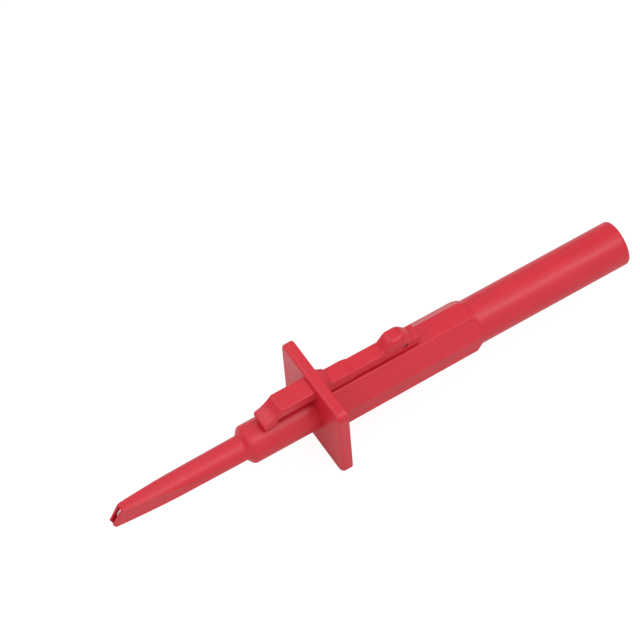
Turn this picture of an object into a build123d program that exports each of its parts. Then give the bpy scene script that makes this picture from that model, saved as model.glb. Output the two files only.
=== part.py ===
from build123d import *
import os

# Piercing test probe: a spring-loaded wire hook in a slim nose pulls a wire onto a fixed needle
# X runs along the probe, out of the lead socket; x = 0 is the mouth of the socket's metal contact
# The tip points to -X and the thumb slider is on +Z; all sizes are in millimetres

os.makedirs("parts", exist_ok=True)

# Lengths along the probe, from the tip to the rear rim
nose_length = 37.2
barrel_length = 20.3
guard_thickness = 3.1
housing_length = 43.7
sleeve_length = 44.2
shroud_lead = 1.5

# Clearances
press_gap = 0.02
running_gap = 0.1
slider_side_gap = 0.15
slider_top_gap = 0.2
slider_bottom_gap = 0.4

# How far a cutting shape runs past the surface that it cuts
cut_margin = 1.0

# Travel of the thumb slider and everything on it, towards the tip
travel = 8.0

# Nose and barrel
nose_tip_radius = 3.1
nose_root_radius = 3.4
mouth_slant = 2.75
lip_setback = 0.7
lip_drop = 0.4
flat_tip_half_width = 1.0
flat_spread = 0.0964
flat_length = 26.0
slot_side_gap = 0.15
slot_end_gap = 0.25
slot_depth = 21.5
nose_wall = 0.95
barrel_radius = 5.0
shoulder_length = 1.3
shoulder_rounding = 1.6
barrel_wall = 1.25
spigot_radius = 4.6
spigot_depth = 6.0
holder_step = 2.3

# Finger guard
guard_width = 27.4
guard_height = 25.3
guard_corner = 3.2
guard_edge = 0.6
hood_length = 2.0
hood_rise = 1.4
hood_heel_rise = 0.6

# Eight-sided housing
housing_half_width = 6.52
housing_half_height = 6.8
housing_top_half_width = 2.28
housing_rear_taper = 2.6
housing_bore_radius = 4.2
rear_wall = 6.0
rear_spigot_depth = 9.7

# Slider bar: a thick ramped front that stops on the guard, and a thin bar through its window
slider_reach = 14.7
slider_front_half_width = 2.86
slider_front_step = 0.6
slider_front_lift = 0.8
slider_foot_gap = 0.7
slider_foot_length = 3.8
slider_lip_height = 1.6
slider_ramp_length = 5.1
ramp_sag = 0.7
slider_stop_gap = 0.03
bar_half_width = 2.4
bar_thickness = 3.4
bar_from_guard = 7.0
bar_slope_length = 1.5
tail_half_width = 2.2
tail_thickness = 3.0
tail_from_sleeve = 16.3
slider_edge = 0.35

# Thumb button on the bar's tail
button_half_width = 1.95
button_height = 3.1
button_foot_from_tail = 10.7
button_front_from_tail = 8.5
button_rear_from_tail = 4.4
button_heel_from_tail = 0.5
button_sag = 0.3
button_crest_rounding = 1.2
button_edge = 0.6

# Carrier, cross pin and spring
pin_radius = 0.75
pin_rise = 1.7
pin_from_tail = 4.0
stem_half_width = 0.8
stem_length = 4.0
stem_seat_height = 1.9
carrier_length = 8.0
spring_wire_radius = 0.25
spring_wire_sides = 4
spring_mean_radius = 1.75
spring_turns = 10
collar_radius = 2.4
collar_length = 1.5

# Hook, needle and their holder
hook_wire_radius = 0.45
hook_offset = 1.75
hook_recess = 1.75
hook_return_leg = 1.0
hook_rear_height = 3.0
hook_bend_radius = 1.5
hook_step_from_guard = 8.2
hook_step_length = 2.2
hook_end_gap = 1.0
needle_radius = 0.4
needle_point_length = 2.4
needle_tip_depth = 5.2
holder_length = 9.5
needle_seat = 5.0
contact_rod_radius = 1.0

# Rear sleeve and lead socket
sleeve_radius = 5.95
sleeve_rim_rounding = 1.3
well_wall = 1.05
socket_bore_radius = 2.0
socket_bore_depth = 21.0
socket_wall = 0.6
socket_length = 33.0
socket_rod_seat = 6.0
insulator_wall = 0.7
insulator_lip = 0.7
insulator_flange = 2.0
clip_thickness = 0.7
clip_groove_depth = 0.4
clip_radial_reach = 0.4
socket_tail_gap = 0.5
mouth_chamfer = 0.4

# Places along X that follow from the lengths
sleeve_back = shroud_lead
sleeve_front = sleeve_back - sleeve_length
guard_back = sleeve_front - housing_length
guard_front = guard_back - guard_thickness
barrel_front = guard_front - barrel_length
tip = barrel_front - nose_length
slider_front = guard_front - slider_reach
slider_tail = sleeve_front - tail_from_sleeve
pin_x = slider_tail - pin_from_tail
carrier_back = pin_x + carrier_length / 2
carrier_front = carrier_back - carrier_length
nose_bore_end = barrel_front + holder_step
spigot_back = guard_back + spigot_depth
bore_back = carrier_back + running_gap
spring_front = guard_back
socket_front = -socket_length
well_floor = -socket_bore_depth - insulator_flange

# Radii and heights that follow from the sizes above
nose_bore_radius = nose_root_radius - nose_wall
slot_half_width = hook_wire_radius + slot_side_gap
slot_half_height = hook_offset + hook_wire_radius + slot_end_gap
barrel_bore_radius = barrel_radius - barrel_wall
well_radius = sleeve_radius - well_wall
socket_radius = socket_bore_radius + socket_wall
insulator_radius = socket_radius + insulator_wall
bar_bottom = housing_half_height + slider_bottom_gap
bar_top = bar_bottom + bar_thickness
tail_top = bar_bottom + tail_thickness
pin_height = bar_bottom + pin_rise
slider_front_top = bar_top + slider_front_step
slider_front_bottom = bar_bottom + slider_front_lift
slider_foot_bottom = barrel_radius + slider_foot_gap
hood_top = bar_top + hood_rise
hood_heel = bar_top + hood_heel_rise
window_half_width = bar_half_width + slider_side_gap
window_top = bar_top + slider_top_gap
window_bottom = housing_half_height + running_gap
carrier_radius = housing_bore_radius - running_gap


def finish(piece, name):
    """Labels one finished piece and writes it to its own file."""
    piece.part.label = name
    export_step(piece.part, f"parts/{name}.step")


def octagon():
    """The housing's section: a rectangle with its corners cut at 45 degrees."""
    side = housing_half_width
    top = housing_half_height
    flat = housing_top_half_width
    shoulder = top - (side - flat)
    return [
        (flat, top), (side, shoulder), (side, -shoulder), (flat, -top),
        (-flat, -top), (-side, -shoulder), (-side, shoulder), (-flat, top),
    ]


# Nose and barrel: one hollow moulding with a blade-like tip and a slanted mouth
with BuildPart() as nose_barrel:
    with BuildSketch(Plane.XZ) as outer:
        with BuildLine():
            Polyline(
                (tip, 0), (tip, nose_tip_radius), (barrel_front, nose_root_radius),
                (barrel_front + shoulder_length, barrel_radius), (guard_front, barrel_radius),
                (guard_front, spigot_radius), (spigot_back, spigot_radius), (spigot_back, 0),
                close=True,
            )
        make_face()
        crest = outer.vertices().sort_by(
            lambda v: (v.X - barrel_front - shoulder_length) ** 2 + (v.Y - barrel_radius) ** 2
        )[0]
        fillet(crest, shoulder_rounding)
    revolve(axis=Axis.X)
    for side in (1, -1):
        with BuildSketch(Plane.XY):
            with BuildLine():
                Polyline(
                    (tip - cut_margin, side * (flat_tip_half_width - flat_spread * cut_margin)),
                    (tip + flat_length, side * (flat_tip_half_width + flat_spread * flat_length)),
                    (tip + flat_length, side * 2 * barrel_radius),
                    (tip - cut_margin, side * 2 * barrel_radius),
                    close=True,
                )
            make_face()
        extrude(amount=barrel_radius, both=True, mode=Mode.SUBTRACT)
    with BuildSketch(Plane.XZ):
        with BuildLine():
            Polyline(
                (tip + 2 * lip_setback, -2 * nose_tip_radius),
                (tip + lip_setback, -nose_tip_radius), (tip, -lip_drop),
                (tip + mouth_slant, nose_tip_radius), (tip + mouth_slant, 2 * nose_tip_radius),
                (tip - mouth_slant, 2 * nose_tip_radius), (tip - mouth_slant, -2 * nose_tip_radius),
                close=True,
            )
        make_face()
    extrude(amount=barrel_radius, both=True, mode=Mode.SUBTRACT)
    with BuildSketch(Plane.XZ):
        with Locations((tip, 0)):
            Rectangle(2 * slot_depth, 2 * slot_half_height)
    extrude(amount=slot_half_width, both=True, mode=Mode.SUBTRACT)
    with BuildSketch(Plane.XZ):
        with BuildLine():
            Polyline(
                (tip + slot_depth, 0), (tip + slot_depth, nose_bore_radius),
                (nose_bore_end, nose_bore_radius), (nose_bore_end, barrel_bore_radius),
                (spigot_back, barrel_bore_radius), (spigot_back, 0),
                close=True,
            )
        make_face()
    revolve(axis=Axis.X, mode=Mode.SUBTRACT)
finish(nose_barrel, "nose_barrel")

# Finger guard: a rounded plate with a window for the slider's bar and a sloped hood over it
with BuildPart() as finger_guard:
    with BuildSketch(Plane.YZ.offset(guard_front)):
        RectangleRounded(guard_width, guard_height, guard_corner)
    extrude(amount=guard_thickness)
    chamfer(finger_guard.faces().filter_by(Axis.X).edges(), guard_edge)
    with BuildSketch(Plane.XZ):
        with BuildLine():
            Polyline(
                (guard_back, window_top), (guard_back, hood_top),
                (guard_back + hood_length, hood_heel), (guard_back + hood_length, window_top),
                close=True,
            )
        make_face()
    extrude(amount=bar_half_width, both=True)
    with BuildSketch(Plane.YZ.offset(guard_front)):
        Circle(spigot_radius + press_gap)
        with Locations((0, (window_top + window_bottom) / 2)):
            Rectangle(2 * window_half_width, window_top - window_bottom)
    extrude(amount=guard_thickness, mode=Mode.SUBTRACT)
finish(finger_guard, "finger_guard")

# Housing: an eight-sided tube that carries the plunger, with a slot under the slider
with BuildPart() as body_housing:
    with BuildSketch(Plane.YZ.offset(guard_back)):
        with BuildLine():
            Polyline(*octagon(), close=True)
        make_face()
    extrude(amount=housing_length)
    with BuildSketch(Plane.XZ):
        with BuildLine():
            widest = housing_half_width + housing_half_height
            corner = (housing_top_half_width**2 + housing_half_height**2) ** 0.5
            Polyline(
                (guard_back, 0), (guard_back, widest),
                (sleeve_front - housing_rear_taper, widest),
                (sleeve_front - housing_rear_taper, corner), (sleeve_front, sleeve_radius),
                (sleeve_front, 0),
                close=True,
            )
        make_face()
    revolve(axis=Axis.X, mode=Mode.INTERSECT)
    with BuildSketch(Plane.XZ):
        with BuildLine():
            Polyline(
                (guard_back, 0), (guard_back, spigot_radius + press_gap),
                (spigot_back + press_gap, spigot_radius + press_gap),
                (spigot_back + press_gap, housing_bore_radius), (bore_back, housing_bore_radius),
                (bore_back, contact_rod_radius + press_gap),
                (sleeve_front - rear_spigot_depth, contact_rod_radius + press_gap),
                (sleeve_front - rear_spigot_depth, spigot_radius + press_gap),
                (sleeve_front, spigot_radius + press_gap), (sleeve_front, 0),
                close=True,
            )
        make_face()
    revolve(axis=Axis.X, mode=Mode.SUBTRACT)
    with BuildSketch(Plane.XY.offset(housing_bore_radius - cut_margin)):
        slot_length = stem_length + travel + 2 * slider_side_gap
        with Locations((pin_x - travel / 2, 0)):
            Rectangle(slot_length, 2 * (stem_half_width + slider_side_gap))
    extrude(amount=housing_half_height, mode=Mode.SUBTRACT)
finish(body_housing, "body_housing")

# Slider bar: its thick front rests on the guard, its thin bar runs through the window
with BuildPart() as slider_bar:
    lip_top = slider_foot_bottom + slider_lip_height
    ramp_end = slider_front + slider_ramp_length
    foot_back = slider_front + slider_foot_length
    stop_face = guard_front - slider_stop_gap
    bar_end = guard_back + bar_from_guard + bar_slope_length
    with BuildSketch(Plane.XZ):
        with BuildLine():
            ramp = ThreePointArc(
                (slider_front, lip_top),
                ((slider_front + ramp_end) / 2, (lip_top + slider_front_top) / 2 - ramp_sag),
                (ramp_end, slider_front_top),
            )
            Polyline(
                ramp @ 1, (stop_face, slider_front_top), (stop_face, slider_front_bottom),
                (foot_back, slider_front_bottom), (foot_back, slider_foot_bottom),
                (slider_front, slider_foot_bottom), ramp @ 0,
            )
        make_face()
    extrude(amount=slider_front_half_width, both=True)
    fillet(slider_bar.edges().filter_by(Axis.X).group_by(Axis.Z)[-1], slider_edge)
    fillet(slider_bar.edges().filter_by(Axis.Z).group_by(Axis.X)[0], slider_edge)
    with BuildSketch(Plane.XZ):
        with BuildLine():
            Polyline(
                (stop_face, bar_bottom), (stop_face, bar_top),
                (guard_back + bar_from_guard, bar_top), (bar_end, tail_top), (bar_end, bar_bottom),
                close=True,
            )
        make_face()
    extrude(amount=bar_half_width, both=True)
    with BuildSketch(Plane.XZ):
        with BuildLine():
            Polyline(
                (bar_end, bar_bottom), (bar_end, tail_top),
                (slider_tail, tail_top), (slider_tail, bar_bottom),
                close=True,
            )
        make_face()
    extrude(amount=tail_half_width, both=True)
    fillet(slider_bar.edges().filter_by(Axis.Z).group_by(Axis.X)[-1], slider_edge)
    with BuildSketch(Plane.XY.offset(bar_bottom)):
        with Locations((pin_x, 0)):
            Rectangle(stem_length + 2 * running_gap, 2 * (stem_half_width + running_gap))
    extrude(amount=tail_top - bar_bottom, mode=Mode.SUBTRACT)
    with BuildSketch(Plane.XZ):
        with Locations((pin_x, pin_height)):
            Circle(pin_radius + press_gap)
    extrude(amount=tail_half_width, both=True, mode=Mode.SUBTRACT)
finish(slider_bar, "slider_bar")

# Thumb button: a ridge on the bar's tail, with a flat stem down through bar and housing
with BuildPart() as thumb_button:
    button_top = tail_top + button_height
    button_floor = tail_top + press_gap
    with BuildSketch(Plane.XZ):
        with BuildLine():
            rise = ThreePointArc(
                (slider_tail - button_foot_from_tail, button_floor),
                (
                    slider_tail - (button_foot_from_tail + button_front_from_tail) / 2 + button_sag,
                    tail_top + button_height / 2 - button_sag,
                ),
                (slider_tail - button_front_from_tail, button_top),
            )
            Polyline(
                rise @ 1, (slider_tail - button_rear_from_tail, button_top),
                (slider_tail - button_heel_from_tail, button_floor), rise @ 0,
            )
        ridge = make_face()
        fillet(ridge.vertices().group_by(Axis.Y)[-1], button_crest_rounding)
    extrude(amount=button_half_width, both=True)
    rim = thumb_button.faces().filter_by(Axis.Y).edges()
    fillet(rim.filter_by(lambda e: (e @ 0.5).Z > button_floor + press_gap), button_edge)
    with BuildSketch(Plane.XZ):
        with Locations((pin_x, (stem_seat_height + button_floor) / 2)):
            Rectangle(stem_length, button_floor - stem_seat_height)
    extrude(amount=stem_half_width, both=True)
    with BuildSketch(Plane.XZ):
        with Locations((pin_x, pin_height)):
            Circle(pin_radius + press_gap)
    extrude(amount=stem_half_width, both=True, mode=Mode.SUBTRACT)
finish(thumb_button, "thumb_button")

# Cross pin that ties the bar to the button's stem
with BuildPart() as slider_pin:
    with BuildSketch(Plane.XZ):
        with Locations((pin_x, pin_height)):
            Circle(pin_radius)
    extrude(amount=tail_half_width, both=True)
finish(slider_pin, "slider_pin")

# Carrier: a round block that runs in the housing's bore and on the rod, keyed to the stem
with BuildPart() as plunger_carrier:
    with BuildSketch(Plane.YZ.offset(carrier_front)):
        Circle(carrier_radius)
        Circle(contact_rod_radius + running_gap, mode=Mode.SUBTRACT)
        with Locations((0, -hook_rear_height)):
            Circle(hook_wire_radius + press_gap, mode=Mode.SUBTRACT)
    extrude(amount=carrier_length)
    with BuildSketch(Plane.XY.offset(stem_seat_height - press_gap)):
        with Locations((pin_x, 0)):
            Rectangle(stem_length + 2 * press_gap, 2 * (stem_half_width + press_gap))
    extrude(amount=carrier_radius, mode=Mode.SUBTRACT)
finish(plunger_carrier, "plunger_carrier")

# Hook: one wire, bent round at the mouth and stepped up beside the spring
with BuildPart() as hook_wire:
    with BuildLine(Plane.XZ) as route:
        bend_centre = tip + hook_recess + hook_offset + hook_wire_radius
        step_front = guard_front - hook_step_from_guard
        leg_end = (bend_centre + hook_return_leg, 0, hook_offset)
        leg = Line((bend_centre + hook_return_leg, hook_offset), (bend_centre, hook_offset))
        bend = ThreePointArc(
            leg @ 1, (bend_centre - hook_offset, 0), (bend_centre, -hook_offset)
        )
        FilletPolyline(
            bend @ 1, (step_front, -hook_offset),
            (step_front + hook_step_length, -hook_rear_height),
            (carrier_back - hook_end_gap, -hook_rear_height),
            radius=hook_bend_radius,
        )
    with BuildSketch(Plane(origin=leg_end, z_dir=(-1, 0, 0))):
        Circle(hook_wire_radius)
    sweep(path=route.wires()[0])
finish(hook_wire, "hook_wire")

# Needle: a straight steel pin with a long cone, facing the hook's bend
with BuildPart() as piercing_needle:
    needle_tip = tip + needle_tip_depth
    needle_back = nose_bore_end - holder_length + needle_seat
    with BuildSketch(Plane.XZ):
        with BuildLine():
            Polyline(
                (needle_tip, 0), (needle_tip + needle_point_length, needle_radius),
                (needle_back, needle_radius), (needle_back, 0),
                close=True,
            )
        make_face()
    revolve(axis=Axis.X)
finish(piercing_needle, "piercing_needle")

# Needle holder: a brass plug in the nose that joins the needle to the contact rod
with BuildPart() as needle_holder:
    holder_front = nose_bore_end - holder_length
    with BuildSketch(Plane.YZ.offset(holder_front)):
        Circle(nose_bore_radius - press_gap)
    extrude(amount=holder_length)
    with BuildSketch(Plane.YZ.offset(holder_front)):
        Circle(needle_radius + press_gap)
    extrude(amount=needle_seat, mode=Mode.SUBTRACT)
    with BuildSketch(Plane.YZ.offset(holder_front + needle_seat)):
        Circle(contact_rod_radius + press_gap)
    extrude(amount=holder_length - needle_seat, mode=Mode.SUBTRACT)
    with BuildSketch(Plane.YZ.offset(holder_front)):
        groove_top = hook_offset - hook_wire_radius - running_gap
        with Locations((0, -groove_top - nose_bore_radius / 2)):
            Rectangle(2 * slot_half_width, nose_bore_radius)
    extrude(amount=holder_length, mode=Mode.SUBTRACT)
finish(needle_holder, "needle_holder")

# Contact rod: carries the current and guides the spring and the carrier
with BuildPart() as contact_rod:
    rod_front = nose_bore_end - holder_length + needle_seat
    rod_back = socket_front + socket_rod_seat
    with BuildSketch(Plane.YZ.offset(rod_front)):
        Circle(contact_rod_radius)
    extrude(amount=rod_back - rod_front)
finish(contact_rod, "contact_rod")

# Collar pressed on the rod, the spring's front seat
with BuildPart() as spring_collar:
    with BuildSketch(Plane.YZ.offset(spring_front - collar_length)):
        Circle(collar_radius)
        Circle(contact_rod_radius + press_gap, mode=Mode.SUBTRACT)
    extrude(amount=collar_length)
finish(spring_collar, "spring_collar")

# Return spring round the rod, between the collar and the carrier
with BuildPart() as return_spring:
    end_gap = spring_wire_radius + press_gap
    coil_length = carrier_front - spring_front - 2 * end_gap
    helix = Helix(
        pitch=coil_length / spring_turns, height=coil_length, radius=spring_mean_radius,
        center=(spring_front + end_gap, 0, 0), direction=(1, 0, 0),
    )
    with BuildSketch(Plane(origin=helix @ 0, z_dir=helix % 0)):
        RegularPolygon(spring_wire_radius, spring_wire_sides)
    sweep(path=helix, is_frenet=True)
finish(return_spring, "return_spring")

# Rear sleeve: the round grip, with a shrouded well round the socket
with BuildPart() as rear_sleeve:
    with BuildSketch(Plane.XZ):
        with BuildLine():
            Polyline(
                (sleeve_front - rear_spigot_depth + press_gap, contact_rod_radius + press_gap),
                (sleeve_front - rear_spigot_depth + press_gap, spigot_radius),
                (sleeve_front, spigot_radius), (sleeve_front, sleeve_radius),
                (sleeve_back, sleeve_radius), (sleeve_back, well_radius),
                (well_floor, well_radius), (well_floor, socket_radius + socket_tail_gap),
                (socket_front - press_gap, socket_radius + socket_tail_gap),
                (socket_front - press_gap, contact_rod_radius + press_gap),
                close=True,
            )
        make_face()
    revolve(axis=Axis.X)
    rim = rear_sleeve.edges().filter_by(GeomType.CIRCLE).group_by(Axis.X)[-1].sort_by(
        lambda e: e.radius
    )
    fillet(rim[-1], sleeve_rim_rounding - mouth_chamfer)
finish(rear_sleeve, "rear_sleeve")

# Socket: turned brass with a 4 mm bore, tied to the rod
with BuildPart() as socket_contact:
    with BuildSketch(Plane.XZ):
        with BuildLine():
            clip_back = well_floor - press_gap
            clip_front = clip_back - clip_thickness
            Polyline(
                (socket_front, contact_rod_radius + press_gap), (socket_front, socket_radius),
                (clip_front, socket_radius), (clip_front, socket_radius - clip_groove_depth),
                (clip_back, socket_radius - clip_groove_depth), (clip_back, socket_radius),
                (0, socket_radius), (0, socket_bore_radius),
                (-socket_bore_depth, socket_bore_radius), (-socket_bore_depth, 0),
                (rod_back, 0), (rod_back, contact_rod_radius + press_gap),
                close=True,
            )
        make_face()
    revolve(axis=Axis.X)
finish(socket_contact, "socket_contact")

# Clip in the socket's groove, against the floor of the well
with BuildPart() as socket_clip:
    with BuildSketch(Plane.YZ.offset(clip_front + press_gap / 2)):
        Circle(socket_radius + clip_radial_reach)
        Circle(socket_radius - clip_groove_depth + press_gap, mode=Mode.SUBTRACT)
        with Locations((0, -socket_radius)):
            Rectangle(2 * socket_wall, 2 * socket_radius, mode=Mode.SUBTRACT)
    extrude(amount=clip_thickness - press_gap)
finish(socket_clip, "socket_clip")

# Insulator: the touch-proof tube round the socket, with a flange on the well's floor
with BuildPart() as socket_insulator:
    with BuildSketch(Plane.XZ):
        with BuildLine():
            flange_front = well_floor + press_gap
            flange_back = well_floor + insulator_flange
            Polyline(
                (flange_front, socket_radius + press_gap),
                (flange_front, well_radius - press_gap), (flange_back, well_radius - press_gap),
                (flange_back, insulator_radius), (insulator_lip, insulator_radius),
                (insulator_lip, socket_bore_radius + running_gap),
                (press_gap, socket_bore_radius + running_gap),
                (press_gap, socket_radius + press_gap),
                close=True,
            )
        make_face()
    revolve(axis=Axis.X)
finish(socket_insulator, "socket_insulator")
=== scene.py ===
"""Looks of the piercing test probe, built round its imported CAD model.

Every piece is remade from the frame's own places with fine edges and its real finish, and
stands for the CAD node of the same name. X runs along the probe, the tip points to -X and the
thumb slider is on +Z. All lengths are in metres.
"""

from __future__ import annotations

import logging
import math
from abc import ABC, abstractmethod
from collections.abc import Callable, Iterable, Sequence
from dataclasses import dataclass
from enum import Enum

import bmesh
import bpy
from mathutils import Matrix, Vector


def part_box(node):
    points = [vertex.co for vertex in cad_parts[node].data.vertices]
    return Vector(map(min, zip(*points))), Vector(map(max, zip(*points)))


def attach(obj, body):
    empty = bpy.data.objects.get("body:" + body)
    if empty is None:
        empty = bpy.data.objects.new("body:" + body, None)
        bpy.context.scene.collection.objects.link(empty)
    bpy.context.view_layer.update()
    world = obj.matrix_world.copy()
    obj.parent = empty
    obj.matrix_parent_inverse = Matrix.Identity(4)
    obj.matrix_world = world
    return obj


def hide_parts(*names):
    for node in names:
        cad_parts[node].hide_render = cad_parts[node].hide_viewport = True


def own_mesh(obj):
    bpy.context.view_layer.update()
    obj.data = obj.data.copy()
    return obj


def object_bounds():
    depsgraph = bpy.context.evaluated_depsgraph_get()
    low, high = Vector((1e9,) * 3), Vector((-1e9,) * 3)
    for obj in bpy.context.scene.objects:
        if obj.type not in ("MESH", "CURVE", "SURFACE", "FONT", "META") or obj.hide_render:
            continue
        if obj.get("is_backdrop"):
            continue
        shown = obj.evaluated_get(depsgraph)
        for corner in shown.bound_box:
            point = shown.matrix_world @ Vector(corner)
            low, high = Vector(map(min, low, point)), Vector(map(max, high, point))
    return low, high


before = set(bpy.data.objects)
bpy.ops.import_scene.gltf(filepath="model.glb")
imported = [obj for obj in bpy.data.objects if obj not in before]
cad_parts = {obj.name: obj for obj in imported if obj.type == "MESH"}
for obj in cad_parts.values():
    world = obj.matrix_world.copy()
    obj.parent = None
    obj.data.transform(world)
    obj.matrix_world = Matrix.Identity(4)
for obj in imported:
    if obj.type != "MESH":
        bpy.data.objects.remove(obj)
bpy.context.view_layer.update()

log = logging.getLogger("probe")

MM = 0.001
IMAGE_SIDE = 640
WHITE = (1.0, 1.0, 1.0, 1.0)
SAME = 0.01 * MM  # nearer than this, two places are one
APART = 0.1 * MM  # further than this, they are two
MIDDLE = Vector((-72 * MM, 0, 0))

Colour = tuple[float, float, float]
Point = tuple[float, float]
Outline = Sequence[Point]
EdgeTest = Callable[[bmesh.types.BMEdge], bool]


class Body(Enum):
    """The two rigid bodies of the probe."""

    PROBE = "probe_body"
    PLUNGER = "plunger"


class Slot(Enum):
    """The record's material slots."""

    RED = "red_plastic"
    DARK_RED = "dark_red_plastic"
    NYLON = "nylon"
    STEEL = "steel"
    SPRING_STEEL = "spring_steel"
    BRASS = "brass"
    NICKEL = "nickel"


class Cut(Enum):
    """What a second solid does to a first one."""

    REMOVE = "DIFFERENCE"
    ADD = "UNION"
    KEEP = "INTERSECT"


class Signal:
    """A number that changes over a surface: a socket with Python's arithmetic."""

    def __init__(self, sheet: NodeSheet, socket: bpy.types.NodeSocket) -> None:
        """Args: sheet is the tree that the socket belongs to, socket is the output."""
        self.sheet = sheet
        self.socket = socket

    def _math(self, operation: str, *values: object, clamp: bool = False) -> Signal:
        """Returns: the result of one Math node on the values."""
        settings = {"operation": operation, "use_clamp": clamp}
        node = self.sheet.node("ShaderNodeMath", settings, dict(enumerate(values)))
        return Signal(self.sheet, node.outputs[0])

    def __add__(self, other: object) -> Signal:
        """Returns: self + other."""
        return self._math("ADD", self, other)

    __radd__ = __add__

    def __sub__(self, other: object) -> Signal:
        """Returns: self - other."""
        return self._math("SUBTRACT", self, other)

    def __rsub__(self, other: object) -> Signal:
        """Returns: other - self."""
        return self._math("SUBTRACT", other, self)

    def __mul__(self, other: object) -> Signal:
        """Returns: self * other."""
        return self._math("MULTIPLY", self, other)

    __rmul__ = __mul__

    def clamped(self) -> Signal:
        """Returns: self held between 0 and 1."""
        return self._math("ADD", self, 0.0, clamp=True)

    def above(self, low: float, high: float) -> Signal:
        """Returns: 0 below low, 1 above high and a smooth rise between them.

        Args:
            low: the value at which the rise starts.
            high: the value at which it ends.
        """
        node = self.sheet.node(
            "ShaderNodeMapRange",
            {"interpolation_type": "SMOOTHSTEP"},
            {"Value": self, "From Min": low, "From Max": high},
        )
        return Signal(self.sheet, node.outputs[0])


class NodeSheet:
    """A node tree under construction."""

    def __init__(self, tree: bpy.types.NodeTree) -> None:
        """Args: tree is the tree, which is emptied."""
        self.tree = tree
        tree.nodes.clear()

    def put(self, node: bpy.types.Node, key: str | int, value: object) -> None:
        """Gives a node's input a value of its own, or links a socket or Signal to it."""
        value = value.socket if isinstance(value, Signal) else value
        if isinstance(value, bpy.types.NodeSocket):
            self.tree.links.new(value, node.inputs[key])
        else:
            node.inputs[key].default_value = value

    def node(
        self,
        kind: str,
        settings: dict[str, object] | None = None,
        inputs: dict[str | int, object] | None = None,
    ) -> bpy.types.Node:
        """Adds one node.

        Args:
            kind: the node's Blender type.
            settings: its own properties, set before its sockets.
            inputs: a value, a socket or a Signal for each named or numbered input.

        Returns:
            The node.
        """
        node = self.tree.nodes.new(kind)
        for key, value in (settings or {}).items():
            setattr(node, key, value)
        for key, value in (inputs or {}).items():
            self.put(node, key, value)
        return node


class ShaderSheet(NodeSheet):
    """One material's node tree, with a Principled shader at its end."""

    def __init__(self, name: str) -> None:
        """Args: name is the material's name."""
        self.material = bpy.data.materials.new(name)
        self.material.use_nodes = True
        super().__init__(self.material.node_tree)
        self.shader = self.node("ShaderNodeBsdfPrincipled")
        self.node("ShaderNodeOutputMaterial", {}, {"Surface": self.shader.outputs[0]})
        self.coordinates = self.node("ShaderNodeTexCoord").outputs["Object"]

    def stretched(self, along: float, across: float) -> bpy.types.NodeSocket:
        """Returns: Object coordinates counted in a pattern's length along X and across it."""
        inputs = {"Vector": self.coordinates, "Scale": (1.0 / along, 1.0 / across, 1.0 / across)}
        return self.node("ShaderNodeMapping", {"vector_type": "POINT"}, inputs).outputs[0]

    def noise(self, along: float, across: float, detail: float, seed: float) -> Signal:
        """Cloudy noise around 0.5.

        Args:
            along: the length of its features along X.
            across: their length along Y and Z.
            detail: how many finer layers it has.
            seed: where in the noise this one is taken from.

        Returns:
            The noise.
        """
        inputs = {"Vector": self.stretched(along, across), "W": seed, "Scale": 1.0, "Detail": detail}
        node = self.node("ShaderNodeTexNoise", {"noise_dimensions": "4D"}, inputs)
        return Signal(self, node.outputs[0])

    def rings(self, pitch: float, wobble: float) -> Signal:
        """Tool marks round the X axis.

        Args:
            pitch: the distance between two marks.
            wobble: how uneven they are.

        Returns:
            A wave from 0 to 1.
        """
        inputs = {
            "Vector": self.stretched(pitch, 40 * pitch),
            "Scale": 1.0,
            "Distortion": wobble,
            "Detail": 1.0,
        }
        node = self.node("ShaderNodeTexWave", {"bands_direction": "X"}, inputs)
        return Signal(self, node.outputs["Fac"])

    def blend(self, amount: Signal, first: Colour, second: Colour) -> bpy.types.NodeSocket:
        """Returns: first where amount is 0 and second where it is 1, as a colour."""
        inputs = {0: amount, 6: (*first, 1.0), 7: (*second, 1.0)}
        return self.node("ShaderNodeMix", {"data_type": "RGBA"}, inputs).outputs[2]

    def relief(self, height: Signal, depth: float) -> bpy.types.NodeSocket:
        """Returns: the surface's normal with a relief of that depth."""
        inputs = {"Height": height, "Distance": depth, "Strength": 1.0}
        return self.node("ShaderNodeBump", {}, inputs).outputs[0]

    def finish(self, **sockets: object) -> bpy.types.Material:
        """Sets the shader's sockets, named with _ for a space, and returns the material."""
        for name, value in sockets.items():
            self.put(self.shader, name.replace("_", " "), value)
        return self.material


@dataclass(frozen=True)
class Finish(ABC):
    """A surface finish that pieces of one slot share."""

    name: str
    slot: Slot

    @abstractmethod
    def make(self, sheet: ShaderSheet) -> bpy.types.Material:
        """Fills the sheet and returns its material."""

    def material(self) -> bpy.types.Material:
        """Returns: the finish's material, made once."""
        return bpy.data.materials.get(self.name) or self.make(ShaderSheet(self.name))


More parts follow.
